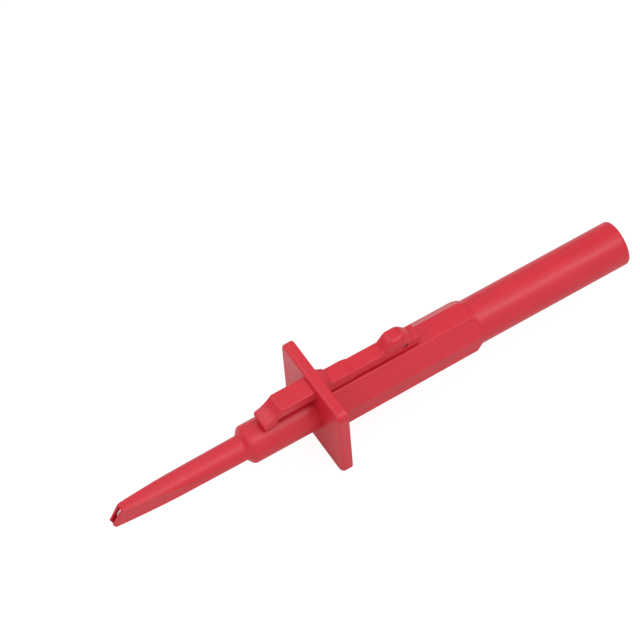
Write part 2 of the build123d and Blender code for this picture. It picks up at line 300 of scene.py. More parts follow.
@dataclass(frozen=True)
class MouldedPlastic(Finish):
    """Injection-moulded plastic: satin, with flow marks, an eroded grain and hairline scuffs."""

    colour: Colour
    deep: Colour
    roughness: float = 0.37
    grain: float = 0.16 * MM
    grain_depth: float = 0.006 * MM
    flow_length: float = 24 * MM
    flow_width: float = 3 * MM
    cloud_size: float = 9 * MM
    scuff_width: float = 0.05 * MM
    scuff_length: float = 5 * MM
    specular: float = 0.5

    def make(self, sheet: ShaderSheet) -> bpy.types.Material:
        """Fills the sheet and returns its material."""
        flow = sheet.noise(self.flow_length, self.flow_width, 3.0, 1.0)
        cloud = sheet.noise(self.cloud_size, self.cloud_size, 2.0, 2.0)
        fine = sheet.noise(self.grain, self.grain, 2.0, 3.0)
        pores = sheet.noise(3 * self.grain, 3 * self.grain, 1.0, 4.0)
        along = sheet.noise(self.scuff_length, self.scuff_width, 1.0, 5.0)
        across = sheet.noise(2 * self.scuff_width, self.scuff_length, 1.0, 6.0)
        patches = cloud.above(0.45, 0.7)
        scuffs = (along.above(0.66, 0.74) + across.above(0.68, 0.76)).clamped() * patches
        depth_of_colour = (flow * 0.5 + cloud * 0.5).above(0.3, 0.7)
        colour = sheet.blend(depth_of_colour, self.deep, self.colour)
        height = fine * 0.7 + pores * 0.5 - scuffs * 0.3
        return sheet.finish(
            Base_Color=colour,
            Roughness=(cloud - 0.5) * 0.1 + (fine - 0.5) * 0.06 + scuffs * 0.07 + self.roughness,
            Normal=sheet.relief(height, self.grain_depth),
            Specular_IOR_Level=self.specular,
        )


@dataclass(frozen=True)
class DrawnMetal(Finish):
    """Drawn wire or rod: fine lines along X, with a little dulling in patches."""

    colour: Colour
    dull: Colour
    roughness: float = 0.28
    line_length: float = 6 * MM
    line_width: float = 0.04 * MM
    line_depth: float = 0.002 * MM
    patch_size: float = 1.5 * MM

    def make(self, sheet: ShaderSheet) -> bpy.types.Material:
        """Fills the sheet and returns its material."""
        lines = sheet.noise(self.line_length, self.line_width, 2.0, 7.0)
        patches = sheet.noise(self.patch_size, self.patch_size, 3.0, 8.0)
        return sheet.finish(
            Base_Color=sheet.blend(patches.above(0.42, 0.68), self.colour, self.dull),
            Metallic=1.0,
            Roughness=(lines - 0.5) * 0.12 + patches.above(0.4, 0.7) * 0.12 + self.roughness,
            Normal=sheet.relief(lines, self.line_depth),
        )


@dataclass(frozen=True)
class TurnedMetal(Finish):
    """Turned metal: tool marks round X, with tarnish in patches."""

    colour: Colour
    tarnish: Colour
    roughness: float = 0.25
    pitch: float = 0.12 * MM
    mark_depth: float = 0.0025 * MM
    patch_size: float = 2.2 * MM

    def make(self, sheet: ShaderSheet) -> bpy.types.Material:
        """Fills the sheet and returns its material."""
        marks = sheet.rings(self.pitch, 1.5)
        tarnished = sheet.noise(self.patch_size, self.patch_size, 4.0, 9.0).above(0.48, 0.72)
        return sheet.finish(
            Base_Color=sheet.blend(tarnished, self.colour, self.tarnish),
            Metallic=1.0,
            Roughness=(marks - 0.5) * 0.08 + tarnished * 0.18 + self.roughness,
            Normal=sheet.relief(marks, self.mark_depth),
        )


RED = MouldedPlastic("red_moulded", Slot.RED, (0.64, 0.013, 0.031), (0.59, 0.010, 0.026))
DARK_RED = MouldedPlastic("dark_red_moulded", Slot.DARK_RED, (0.42, 0.015, 0.02), (0.36, 0.011, 0.016), 0.5)
NYLON = MouldedPlastic("natural_nylon", Slot.NYLON, (0.72, 0.69, 0.6), (0.64, 0.6, 0.5), 0.45)
STEEL = DrawnMetal("drawn_steel", Slot.STEEL, (0.62, 0.62, 0.63), (0.48, 0.48, 0.49))
# Darkened, slightly reddish steel for the cross pin: painted shade for the pin's hole, so the pin end reads
# dark.
PAINTED_SHADE_STEEL = DrawnMetal("steel_with_painted_shade", Slot.STEEL, (0.3, 0.26, 0.26), (0.22, 0.19, 0.19), 0.42)
SPRING_STEEL = DrawnMetal("spring_wire", Slot.SPRING_STEEL, (0.42, 0.42, 0.44), (0.3, 0.29, 0.29), 0.35)
BRASS = TurnedMetal("turned_brass", Slot.BRASS, (0.78, 0.56, 0.24), (0.5, 0.33, 0.14))
NICKEL = TurnedMetal("nickel_plate", Slot.NICKEL, (0.7, 0.68, 0.63), (0.5, 0.46, 0.38), 0.18)


class Solid:
    """A mesh under construction, which other solids may cut or join."""

    def __init__(self, shape: bmesh.types.BMesh) -> None:
        """Args: shape is a closed shell, which becomes the solid's mesh."""
        bmesh.ops.remove_doubles(shape, verts=shape.verts, dist=0.0005 * MM)
        bmesh.ops.recalc_face_normals(shape, faces=shape.faces)
        mesh = bpy.data.meshes.new("solid")
        shape.to_mesh(mesh)
        shape.free()
        self.object = bpy.data.objects.new("solid", mesh)
        bpy.context.scene.collection.objects.link(self.object)

    def _settle(self) -> None:
        """Makes the modifiers' result the solid's own mesh."""
        bpy.context.view_layer.update()
        result = self.object.evaluated_get(bpy.context.evaluated_depsgraph_get())
        mesh = bpy.data.meshes.new_from_object(result)
        self.object.modifiers.clear()
        self.object.data = mesh

    def combine(self, cut: Cut, *others: Solid) -> Solid:
        """Cuts this solid by the others, or joins them to it, and uses them up.

        Args:
            cut: what the others do.
            others: the other solids.

        Returns:
            This solid.
        """
        for other in others:
            modifier = self.object.modifiers.new("cut", "BOOLEAN")
            modifier.operation = cut.value
            modifier.solver = "MANIFOLD"
            modifier.object = other.object
            self._settle()
            bpy.data.objects.remove(other.object)
        return self

    def soften(self, width: float, segments: int = 2, corner: float = 32.0) -> Solid:
        """Rounds every edge sharper than corner.

        Args:
            width: the rounding's width.
            segments: its number of steps.
            corner: the least angle of an edge that is rounded, in degrees.

        Returns:
            This solid.
        """
        modifier = self.object.modifiers.new("edges", "BEVEL")
        modifier.width = width
        modifier.segments = segments
        modifier.limit_method = "ANGLE"
        modifier.angle_limit = math.radians(corner)
        modifier.miter_outer = "MITER_ARC"
        self._settle()
        return self

    def shade(self, corner: float = 38.0) -> Solid:
        """Shades smoothly across edges flatter than corner, in degrees, and returns this solid."""
        mesh = self.object.data
        mesh.shade_smooth()
        mesh.set_sharp_from_angle(angle=math.radians(corner))
        modifier = self.object.modifiers.new("normals", "WEIGHTED_NORMAL")
        modifier.keep_sharp = True
        modifier.weight = 80
        self._settle()
        return self

    def become(self, node: str, body: Body, finish: Finish) -> bpy.types.Object:
        """Finishes the solid as a piece that stands for a CAD node.

        Args:
            node: the CAD node's name.
            body: the rigid body that the piece rides on.
            finish: its surface.

        Returns:
            The piece.
        """
        piece = self.object
        piece.name = piece.data.name = f"{node}_finished"
        piece.data.materials.clear()
        piece.data.materials.append(finish.material())
        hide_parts(node)
        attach(piece, body.value)
        log.info("%s: %d faces, on %s", piece.name, len(piece.data.polygons), body.value)
        return piece


def bevel(shape: bmesh.types.BMesh, test: EdgeTest, width: float, segments: int = 4) -> None:
    """Rounds the edges of a shape that pass a test.

    Args:
        shape: the shape, which is changed.
        test: says whether an edge is rounded.
        width: the rounding's width.
        segments: its number of steps.
    """
    edges = [edge for edge in shape.edges if test(edge)]
    bmesh.ops.bevel(
        shape, geom=edges, offset=width, offset_type="OFFSET", segments=segments,
        profile=0.5, affect="EDGES", clamp_overlap=True, material=-1,
    )


def near(edge: bmesh.types.BMEdge, axis: int, place: float) -> bool:
    """Returns: whether both ends of an edge are at that place along an axis."""
    return all(abs(vert.co[axis] - place) < SAME for vert in edge.verts)


def lengthwise(edge: bmesh.types.BMEdge) -> bool:
    """Returns: whether an edge leads along the probe from one place to another."""
    first, second = (vert.co.x for vert in edge.verts)
    return abs(first - second) > APART


def spread(edge: bmesh.types.BMEdge) -> float:
    """Returns: how far an edge is from the X axis."""
    return min(math.hypot(vert.co.y, vert.co.z) for vert in edge.verts)


def around(edge: bmesh.types.BMEdge) -> bool:
    """Returns: whether an edge runs round the X axis."""
    first, second = (math.hypot(vert.co.y, vert.co.z) for vert in edge.verts)
    return abs(first - second) < 0.005 * MM


def turned(outline: Outline, steps: int = 72) -> bmesh.types.BMesh:
    """Spins a closed outline round the X axis.

    Args:
        outline: its corners as (place along X, radius).
        steps: the number of faces round the axis.

    Returns:
        The shape.
    """
    shape = bmesh.new()
    corners = [shape.verts.new((x, 0, radius)) for x, radius in outline]
    edges = [
        shape.edges.new((a, b))
        for a, b in zip(corners, corners[1:] + corners[:1])
        if max(a.co.z, b.co.z) > 0
    ]
    bmesh.ops.spin(
        shape, geom=corners + edges, axis=(1, 0, 0), cent=(0, 0, 0), dvec=(0, 0, 0),
        angle=math.tau, steps=steps, use_merge=True, use_duplicate=False,
    )
    bmesh.ops.remove_doubles(shape, verts=shape.verts, dist=0.001 * MM)
    bmesh.ops.recalc_face_normals(shape, faces=shape.faces)
    return shape


def prism(outline: Outline, low: float, high: float, axis: str = "Y") -> bmesh.types.BMesh:
    """Extrudes a flat outline.

    Args:
        outline: its corners, as (x, z) along Y, (x, y) along Z or (y, z) along X.
        low: where the prism starts along the axis.
        high: where it ends.
        axis: the axis that it is extruded along.

    Returns:
        The shape.
    """
    place = {
        "X": lambda a, b: (low, a, b),
        "Y": lambda a, b: (a, low, b),
        "Z": lambda a, b: (a, b, low),
    }[axis]
    step = {"X": (high - low, 0, 0), "Y": (0, high - low, 0), "Z": (0, 0, high - low)}[axis]
    shape = bmesh.new()
    face = shape.faces.new([shape.verts.new(place(a, b)) for a, b in outline])
    grown = bmesh.ops.extrude_face_region(shape, geom=[face], use_keep_orig=True)["geom"]
    verts = [item for item in grown if isinstance(item, bmesh.types.BMVert)]
    bmesh.ops.translate(shape, verts=verts, vec=step)
    bmesh.ops.recalc_face_normals(shape, faces=shape.faces)
    return shape


def lofted(rows: Sequence[Sequence[tuple[float, float, float]]]) -> bmesh.types.BMesh:
    """Returns: a closed shape through rows of corners, each with as many corners."""
    shape = bmesh.new()
    rings = [[shape.verts.new(corner) for corner in row] for row in rows]
    for ring, following in zip(rings, rings[1:]):
        for number in range(len(ring)):
            shape.faces.new((ring[number - 1], ring[number], following[number], following[number - 1]))
    shape.faces.new(rings[0])
    shape.faces.new(rings[-1])
    bmesh.ops.recalc_face_normals(shape, faces=shape.faces)
    return shape


def slab(front: float, back: float, half_width: float, bottom: float, top: float) -> Solid:
    """Returns: a box that is as wide to both sides of the probe's middle."""
    return Solid(block((front, -half_width, bottom), (back, half_width, top)))


def block(low: Sequence[float], high: Sequence[float]) -> bmesh.types.BMesh:
    """Returns: a box between two corners."""
    shape = bmesh.new()
    middle = (Vector(low) + Vector(high)) / 2
    size = Vector(high) - Vector(low)
    matrix = Matrix.Translation(middle) @ Matrix.Diagonal((*size, 1))
    bmesh.ops.create_cube(shape, size=1.0, matrix=matrix)
    return shape


def rod(low: float, high: float, radius: float, axis: str = "X", at: Point = (0, 0)) -> Solid:
    """A round bar.

    Args:
        low: where it starts along the axis.
        high: where it ends.
        radius: its radius.
        axis: X or Y.
        at: its centre, as (y, z) along X or (x, z) along Y.

    Returns:
        The bar.
    """
    turn = Matrix.Rotation(math.pi / 2, 4, "Y" if axis == "X" else "X")
    middle = (low + high) / 2
    centre = (middle, *at) if axis == "X" else (at[0], middle, at[1])
    shape = bmesh.new()
    bmesh.ops.create_cone(
        shape, cap_ends=True, cap_tris=False, segments=40, radius1=radius,
        radius2=radius, depth=high - low, matrix=Matrix.Translation(centre) @ turn,
    )
    return Solid(shape)


def wire(route: Outline, radius: float) -> Solid:
    """Returns: a bent round wire of that radius, with its middle line along (x, z) points."""
    curve = bpy.data.curves.new("route", "CURVE")
    curve.dimensions = "3D"
    curve.bevel_depth = radius
    curve.bevel_resolution = 5
    curve.use_fill_caps = True
    spline = curve.splines.new("POLY")
    spline.points.add(len(route) - 1)
    for point, (x, z) in zip(spline.points, route):
        point.co = (x, 0, z, 1)
    carrier = bpy.data.objects.new("route", curve)
    bpy.context.scene.collection.objects.link(carrier)
    bpy.context.view_layer.update()
    mesh = bpy.data.meshes.new_from_object(carrier.evaluated_get(bpy.context.evaluated_depsgraph_get()))
    bpy.data.objects.remove(carrier)
    shape = bmesh.new()
    shape.from_mesh(mesh)
    bpy.data.meshes.remove(mesh)
    return Solid(shape)


def arc(start: Point, end: Point, sag: float, steps: int = 8) -> list[Point]:
    """Points of a shallow curve.

    Args:
        start: its first point.
        end: its last point.
        sag: how far its middle is off the straight line, to the right of the way.
        steps: its number of straight pieces.

    Returns:
        The points, with both ends.
    """
    along = Vector(end) - Vector(start)
    side = Vector((along.y, -along.x)).normalized()
    points = []
    for step in range(steps + 1):
        share = step / steps
        point = Vector(start) + along * share + side * sag * 4 * share * (1 - share)
        points.append((point.x, point.y))
    return points


def eased(start: Point, end: Point, ease: float, steps: int = 6) -> list[Point]:
    """A straight slope that starts and ends level.

    Args:
        start: its first point.
        end: its last point.
        ease: how far before and after each bend the curve between them reaches.
        steps: the number of straight pieces of a bend.

    Returns:
        The points, with both ends.
    """
    slope = (end[1] - start[1]) / (end[0] - start[0])
    points = [(start[0] - ease, start[1])]
    for corner, before, after in ((start, 0.0, slope), (end, slope, 0.0)):
        for step in range(steps + 1):
            share = step / steps
            rise = ease * (after * share * share - before * (1 - share) ** 2)
            points.append((corner[0] + ease * (2 * share - 1), corner[1] + rise))
    return points


def inset(outline: Outline, depth: float) -> list[Point]:
    """Returns: a closed outline that runs clockwise, moved inwards by depth."""
    corners = [Vector(corner) for corner in outline]
    points = []
    for number, corner in enumerate(corners):
        before = (corner - corners[number - 1]).normalized()
        after = (corners[(number + 1) % len(corners)] - corner).normalized()
        normals = Vector((before.y, -before.x)), Vector((after.y, -after.x))
        middle = (normals[0] + normals[1]).normalized()
        point = corner + middle * (depth / max(middle.dot(normals[0]), 0.5))
        points.append((point.x, point.y))
    return points


def cushion(outline: Outline, half_width: float, rounding: float, steps: int = 6) -> bmesh.types.BMesh:
    """Extrudes an outline in X and Z along Y, with rounded long edges.

    Args:
        outline: its corners as (x, z), clockwise.
        half_width: how far it goes to each side.
        rounding: the radius of its long edges.
        steps: the number of steps of a rounding.

    Returns:
        The shape.
    """
    rows = []
    for step in range(steps + 1):
        angle = math.pi / 2 * step / steps
        place = half_width - rounding * (1 - math.cos(angle))
        rows.append((place, inset(outline, rounding * (1 - math.sin(angle)))))
    rows += [(-place, row) for place, row in reversed(rows)]
    return lofted([[(x, place, z) for x, z in row] for place, row in rows])


@dataclass(frozen=True)
class Layout:
    """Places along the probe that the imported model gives."""

    tip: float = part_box("nose_barrel")[0].x
    spigot_back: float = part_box("nose_barrel")[1].x
    barrel_radius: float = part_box("nose_barrel")[1].y + 0.15 * MM
    guard_front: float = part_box("finger_guard")[0].x
    guard_back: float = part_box("body_housing")[0].x
    sleeve_front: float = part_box("body_housing")[1].x
    sleeve_spigot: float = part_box("rear_sleeve")[0].x
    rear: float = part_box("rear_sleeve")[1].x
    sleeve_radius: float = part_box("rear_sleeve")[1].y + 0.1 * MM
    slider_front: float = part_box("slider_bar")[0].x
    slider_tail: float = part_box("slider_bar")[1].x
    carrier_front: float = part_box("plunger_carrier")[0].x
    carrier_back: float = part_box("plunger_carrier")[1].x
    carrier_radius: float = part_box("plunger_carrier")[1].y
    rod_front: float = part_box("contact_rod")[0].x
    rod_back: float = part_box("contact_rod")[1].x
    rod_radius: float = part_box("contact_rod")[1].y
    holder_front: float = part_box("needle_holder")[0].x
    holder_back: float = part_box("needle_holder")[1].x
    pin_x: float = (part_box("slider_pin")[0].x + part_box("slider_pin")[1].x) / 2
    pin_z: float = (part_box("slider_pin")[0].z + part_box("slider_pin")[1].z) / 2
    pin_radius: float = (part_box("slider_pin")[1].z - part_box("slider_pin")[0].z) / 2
    spigot_radius: float = 4.6 * MM
    fit: float = 0.02 * MM
    overrun: float = 1 * MM


AT = Layout()


@dataclass
class NoseGroup:
    """The nose with its barrel, the needle and the needle's holder."""

    root_radius: float = 3.4 * MM
    tip_radius: float = 3.1 * MM
    nose_length: float = 37.2 * MM
    shoulder: float = 1.3 * MM
    crest: float = 0.6 * MM
    root_crease: float = 0.35 * MM
    flat_at_tip: float = 1.0 * MM
    flat_spread: float = 0.0964
    flat_length: float = 26 * MM
    mouth_slant: float = 3.1 * MM
    mouth_ease: float = 0.5 * MM
    lip_setback: float = 0.7 * MM
    lip_drop: float = 1.7 * MM
    slot_half_width: float = 0.6 * MM
    slot_half_height: float = 2.45 * MM
    slot_depth: float = 21.5 * MM
    bore: float = 2.45 * MM
    barrel_bore: float = 3.75 * MM
    edge: float = 0.14 * MM
    needle_radius: float = 0.4 * MM
    needle_cone: float = 2.4 * MM
    needle_point: float = 0.03 * MM
    needle_seat: float = 5 * MM
    groove_top: float = 1.2 * MM
    holder_edge: float = 0.08 * MM

    def shell(self) -> Solid:
        """Returns: the one-piece moulding of nose and barrel."""
        root = AT.tip + self.nose_length
        shape = turned((
            (AT.tip, 0), (AT.tip, self.tip_radius), (root, self.root_radius),
            (root + self.shoulder, AT.barrel_radius), (AT.guard_front, AT.barrel_radius),
            (AT.guard_front, AT.spigot_radius), (AT.spigot_back, AT.spigot_radius),
            (AT.spigot_back, 0),
        ))
        bevel(shape, lambda e: near(e, 0, root + self.shoulder), self.crest, segments=7)
        bevel(shape, lambda e: near(e, 0, root) and spread(e) > self.tip_radius, self.root_crease, segments=3)
        return Solid(shape).combine(Cut.REMOVE, *self.flats(), *self.mouth(), self.bore_tool())

    def flats(self) -> list[Solid]:
        """Returns: the two wedges that flatten the nose's sides."""
        front, back = AT.tip - AT.overrun, AT.tip + self.flat_length
        near_tip = self.flat_at_tip - self.flat_spread * AT.overrun
        far = self.flat_at_tip + self.flat_spread * self.flat_length
        wide = 2 * AT.barrel_radius
        return [
            Solid(prism(
                ((front, side * near_tip), (back, side * far), (back, side * wide), (front, side * wide)),
                -wide, wide, "Z",
            ))
            for side in (1, -1)
        ]

    def mouth(self) -> list[Solid]:
        """Returns: the tools that cut the slanted mouth and the slot behind it."""
        tall = 2 * self.tip_radius
        ease, corner, ahead = self.mouth_ease, AT.tip + self.mouth_slant, AT.tip - self.mouth_slant
        slant = prism(
            (
                (AT.tip + 2 * self.lip_setback, -tall), (AT.tip + self.lip_setback, -self.tip_radius),
                (AT.tip, -self.lip_drop), (corner - ease, self.tip_radius - 1.6 * ease),
                (corner, self.tip_radius - 0.5 * ease), (corner + ease, self.tip_radius),
                (corner + ease, tall), (ahead, tall), (ahead, -tall),
            ),
            -tall, tall,
        )
        slot = slab(
            AT.tip - AT.overrun, AT.tip + self.slot_depth, self.slot_half_width,
            -self.slot_half_height, self.slot_half_height,
        )
        return [Solid(slant), slot]

    def bore_tool(self) -> Solid:
        """Returns: the core that hollows the nose and the barrel."""
        slot_end = AT.tip + self.slot_depth - AT.fit
        return Solid(turned((
            (slot_end, 0), (slot_end, self.bore), (AT.holder_back, self.bore),
            (AT.holder_back, self.barrel_bore), (AT.spigot_back + AT.overrun, self.barrel_bore),
            (AT.spigot_back + AT.overrun, 0),
        ), steps=48))

    def needle(self) -> Solid:
        """Returns: the piercing needle, a pin with a ground cone."""
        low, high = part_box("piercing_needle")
        return Solid(turned((
            (low.x, 0), (low.x, self.needle_point), (low.x + self.needle_cone, self.needle_radius),
            (high.x, self.needle_radius), (high.x, 0),
        ), steps=24))

    def holder(self) -> Solid:
        """Returns: the brass plug that holds the needle and meets the contact rod."""
        step = AT.holder_front + self.needle_seat
        outside = self.bore - AT.fit
        plug = Solid(turned((
            (AT.holder_front, self.needle_radius + AT.fit), (AT.holder_front, outside),
            (AT.holder_back, outside), (AT.holder_back, AT.rod_radius + AT.fit),
            (step, AT.rod_radius + AT.fit), (step, self.needle_radius + AT.fit),
        ), steps=48))
        front, back = AT.holder_front - AT.overrun, AT.holder_back + AT.overrun
        groove = slab(front, back, self.slot_half_width, -2 * self.bore, -self.groove_top)
        return plug.combine(Cut.REMOVE, groove)

    def build(self) -> None:
        """Builds and dresses the group's pieces."""
        self.shell().soften(self.edge, segments=3).shade().become("nose_barrel", Body.PROBE, RED)
        self.needle().shade().become("piercing_needle", Body.PROBE, STEEL)
        self.holder().soften(self.holder_edge).shade().become("needle_holder", Body.PROBE, BRASS)


@dataclass
class GuardGroup:
    """The finger guard, with its window and the sloped hood over it."""

    corner: float = 2.3 * MM
    front_rim: float = 1.0 * MM
    back_rim: float = 0.3 * MM
    hood_length: float = 2.0 * MM
    hood_top: float = 12.3 * MM
    hood_heel: float = 10.95 * MM
    hood_half_width: float = 2.4 * MM
    window_half_width: float = 2.55 * MM
    window_bottom: float = 6.9 * MM
    window_top: float = 10.8 * MM
    edge: float = 0.16 * MM

    def plate(self) -> Solid:
        """Returns: the rounded plate."""
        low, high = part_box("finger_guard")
        shape = block((AT.guard_front, low.y, low.z), (AT.guard_back, high.y, high.z))
        bevel(shape, lengthwise, self.corner, segments=10)
        bevel(shape, lambda e: near(e, 0, AT.guard_front), self.front_rim, segments=6)
        bevel(shape, lambda e: near(e, 0, AT.guard_back), self.back_rim)
        return Solid(shape)

    def hood(self) -> Solid:
        """Returns: the short hood that slopes down behind the plate, over the bar."""
        front, back = AT.guard_back - AT.overrun, AT.guard_back + self.hood_length
        wide = self.hood_half_width
        return Solid(prism(
            (
                (front, self.window_top), (front, self.hood_top), (AT.guard_back, self.hood_top),
                (back, self.hood_heel), (back, self.window_top),
            ),
            -wide, wide,
        ))

    def build(self) -> None:
        """Builds and dresses the guard."""
        front, back = AT.guard_front - AT.overrun, AT.guard_back + AT.overrun
        window = slab(front, back, self.window_half_width, self.window_bottom, self.window_top)
        hole = rod(front, back, AT.spigot_radius + AT.fit)
        guard = self.plate().combine(Cut.ADD, self.hood()).combine(Cut.REMOVE, window, hole)
        guard.soften(self.edge, segments=3, corner=40).shade().become("finger_guard", Body.PROBE, RED)


@dataclass
class BodyGroup:
    """The eight-sided housing and what stands still inside it."""

    top_half_width: float = 2.75 * MM
    side_half_height: float = 2.56 * MM
    front_swell: float = 0.3 * MM
    rear_swell: float = 0.1 * MM
    front_drop: float = 0.45 * MM
    rear_drop: float = 0.2 * MM
    rear_taper: float = 2.6 * MM
    edge: float = 0.2 * MM
    bore: float = 4.2 * MM
    rear_socket: float = 9.7 * MM
    spring_radius: float = 1.75 * MM
    wire_radius: float = 0.25 * MM
    turns: int = 10
    steps_a_turn: int = 32
    collar_radius: float = 2.4 * MM
    slot_half_width: float = 0.95 * MM
    slot_half_length: float = 2.15 * MM
    travel: float = 8 * MM
    slot_edge: float = 0.12 * MM
    rod_edge: float = 0.1 * MM
    collar_edge: float = 0.12 * MM
    running_gap: float = 0.1 * MM

    def section(self, swell: float, drop: float) -> Outline:
        """The housing's eight corners.

        Args:
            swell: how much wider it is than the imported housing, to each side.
            drop: how far the middle of its side faces is below the axis.

        Returns:
            The corners as (y, z).
        """
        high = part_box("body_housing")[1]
        side, top, flat = high.y + swell, high.z, self.top_half_width
        upper, lower = self.side_half_height - drop, -self.side_half_height - drop
        return (
            (flat, top), (side, upper), (side, lower), (flat, -top),
            (-flat, -top), (-side, lower), (-side, upper), (-flat, top),
        )

    def tube(self) -> Solid:
        """Returns: the housing."""
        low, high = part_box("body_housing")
        ends = (low.x, self.front_swell, self.front_drop), (high.x, self.rear_swell, self.rear_drop)
        shape = lofted([[(x, y, z) for y, z in self.section(swell, drop)] for x, swell, drop in ends])
        bevel(shape, lengthwise, self.edge)
        wide = high.y + self.front_swell + high.z
        corner = math.hypot(self.top_half_width, high.z)
        envelope = turned((
            (low.x - AT.overrun, 0), (low.x - AT.overrun, wide), (high.x - self.rear_taper, wide),
            (high.x - self.rear_taper, corner), (high.x, AT.sleeve_radius), (high.x, 0),
        ), steps=96)
        return Solid(shape).combine(Cut.KEEP, Solid(envelope))

    def cores(self) -> list[Solid]:
        """Returns: the tools that hollow the housing and open its slot."""
        spigot = AT.spigot_radius + AT.fit
        rod_hole = AT.rod_radius + AT.fit
        rear_floor = AT.sleeve_front - self.rear_socket
        bore_back = AT.carrier_back + self.running_gap
        core = turned((
            (AT.guard_back - AT.overrun, 0), (AT.guard_back - AT.overrun, spigot),
            (AT.spigot_back + AT.fit, spigot), (AT.spigot_back + AT.fit, self.bore),
            (bore_back, self.bore), (bore_back, rod_hole), (rear_floor, rod_hole),
            (rear_floor, spigot), (AT.sleeve_front + AT.overrun, spigot),
            (AT.sleeve_front + AT.overrun, 0),
        ), steps=64)
        front, back = AT.pin_x - self.slot_half_length - self.travel, AT.pin_x + self.slot_half_length
        slot = slab(front, back, self.slot_half_width, self.bore - AT.overrun, 2 * self.bore)
        return [Solid(core), slot]

    def spring(self) -> Solid:
        """Returns: the return spring, a ten-sided section swept round the rod."""
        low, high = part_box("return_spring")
        length = high.x - low.x - 2 * self.wire_radius
        shape = bmesh.new()
        matrix = Matrix.Translation((low.x + self.wire_radius, 0, self.spring_radius)) @ Matrix.Rotation(
            math.pi / 2, 4, "X"
        )
        ring = bmesh.ops.create_circle(
            shape, cap_ends=False, segments=10, radius=self.wire_radius, matrix=matrix
        )["verts"]
        edges = list({edge for vert in ring for edge in vert.link_edges})
        steps = self.turns * self.steps_a_turn
        bmesh.ops.spin(
            shape, geom=ring + edges, axis=(1, 0, 0), cent=(0, 0, 0),
            dvec=(length / steps, 0, 0), angle=math.tau * self.turns, steps=steps,
            use_merge=False, use_duplicate=False,
        )
        bmesh.ops.holes_fill(shape, edges=[e for e in shape.edges if e.is_boundary], sides=0)
        return Solid(shape)

    def build(self) -> None:
        """Builds and dresses the group's pieces."""
        housing = self.tube().combine(Cut.REMOVE, *self.cores())
        housing.soften(self.slot_edge, corner=55).shade().become("body_housing", Body.PROBE, RED)
        bar = rod(AT.rod_front, AT.rod_back, AT.rod_radius)
        bar.soften(self.rod_edge).shade().become("contact_rod", Body.PROBE, BRASS)
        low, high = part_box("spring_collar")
        hole = AT.rod_radius + AT.fit
        collar = turned((
            (low.x, hole), (low.x, self.collar_radius), (high.x, self.collar_radius), (high.x, hole),
        ), steps=48)
        Solid(collar).soften(self.collar_edge).shade().become("spring_collar", Body.PROBE, BRASS)
        spring = self.spring().shade(corner=60).become("return_spring", Body.PROBE, SPRING_STEEL)
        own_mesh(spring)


@dataclass
class PlungerGroup:
    """What the thumb moves: bar, button, cross pin, carrier and hook."""

    front_half_width: float = 2.86 * MM
    front_top: float = 11.2 * MM
    front_bottom: float = 8.0 * MM
    foot_bottom: float = 6.1 * MM
    foot_length: float = 3.8 * MM
    lip_height: float = 1.6 * MM
    ramp_length: float = 5.1 * MM
    ramp_sag: float = 0.56 * MM
    bar_half_width: float = 2.4 * MM
    bar_bottom: float = 7.45 * MM
    bar_top: float = 10.6 * MM
    bar_from_guard: float = 7.0 * MM
    bar_slope: float = 1.5 * MM
    tail_half_width: float = 2.2 * MM
    tail_top: float = 10.2 * MM
    head_edge: float = 0.45 * MM
    bar_edge: float = 0.2 * MM
    bar_rounding: float = 0.4 * MM
    stem_half_length: float = 2.0 * MM
    stem_half_width: float = 0.8 * MM
    stem_seat: float = 1.9 * MM
    stem_overlap: float = 0.5 * MM
    button_half_width: float = 2.35 * MM
    button_height: float = 3.1 * MM
    button_foot: float = 10.9 * MM
    button_front: float = 8.0 * MM
    button_rear: float = 4.1 * MM
    button_heel: float = 1.0 * MM
    button_crest: float = 0.9 * MM
    button_sink: float = 0.3 * MM
    button_edge: float = 1.45 * MM
    pin_recess: float = 0.35 * MM
    pin_hole_reach: float = 3 * MM
    hook_radius: float = 0.45 * MM
    hook_offset: float = 1.75 * MM
    hook_rear: float = -3.0 * MM
    return_leg: float = 1.0 * MM
    bend_steps: int = 12
    step_from_guard: float = 8.2 * MM
    step_length: float = 2.2 * MM
    step_ease: float = 0.55 * MM
    running_gap: float = 0.1 * MM
    seat_gap: float = 0.03 * MM
    pin_edge: float = 0.12 * MM
    carrier_edge: float = 0.12 * MM

    def along_top(self, edge: bmesh.types.BMEdge) -> bool:
        """Returns: whether an edge is a long top edge of the bar."""
        first, second = (vert.co for vert in edge.verts)
        high = min(first.z, second.z) > self.tail_top - SAME
        return high and abs(first.y - second.y) < SAME and lengthwise(edge)

    def pin_hole(self) -> Solid:
        """Returns: the tool that cuts the cross pin's hole."""
        reach = self.pin_hole_reach
        return rod(-reach, reach, AT.pin_radius + AT.fit, "Y", (AT.pin_x, AT.pin_z))

    def stem_block(self, gap: float, bottom: float, top: float) -> Solid:
        """A box round the button's stem.

        Args:
            gap: how much larger it is than the stem, to each side.
            bottom: its underside.
            top: its top.

        Returns:
            The box.
        """
        reach = self.stem_half_length + gap
        return slab(AT.pin_x - reach, AT.pin_x + reach, self.stem_half_width + gap, bottom, top)

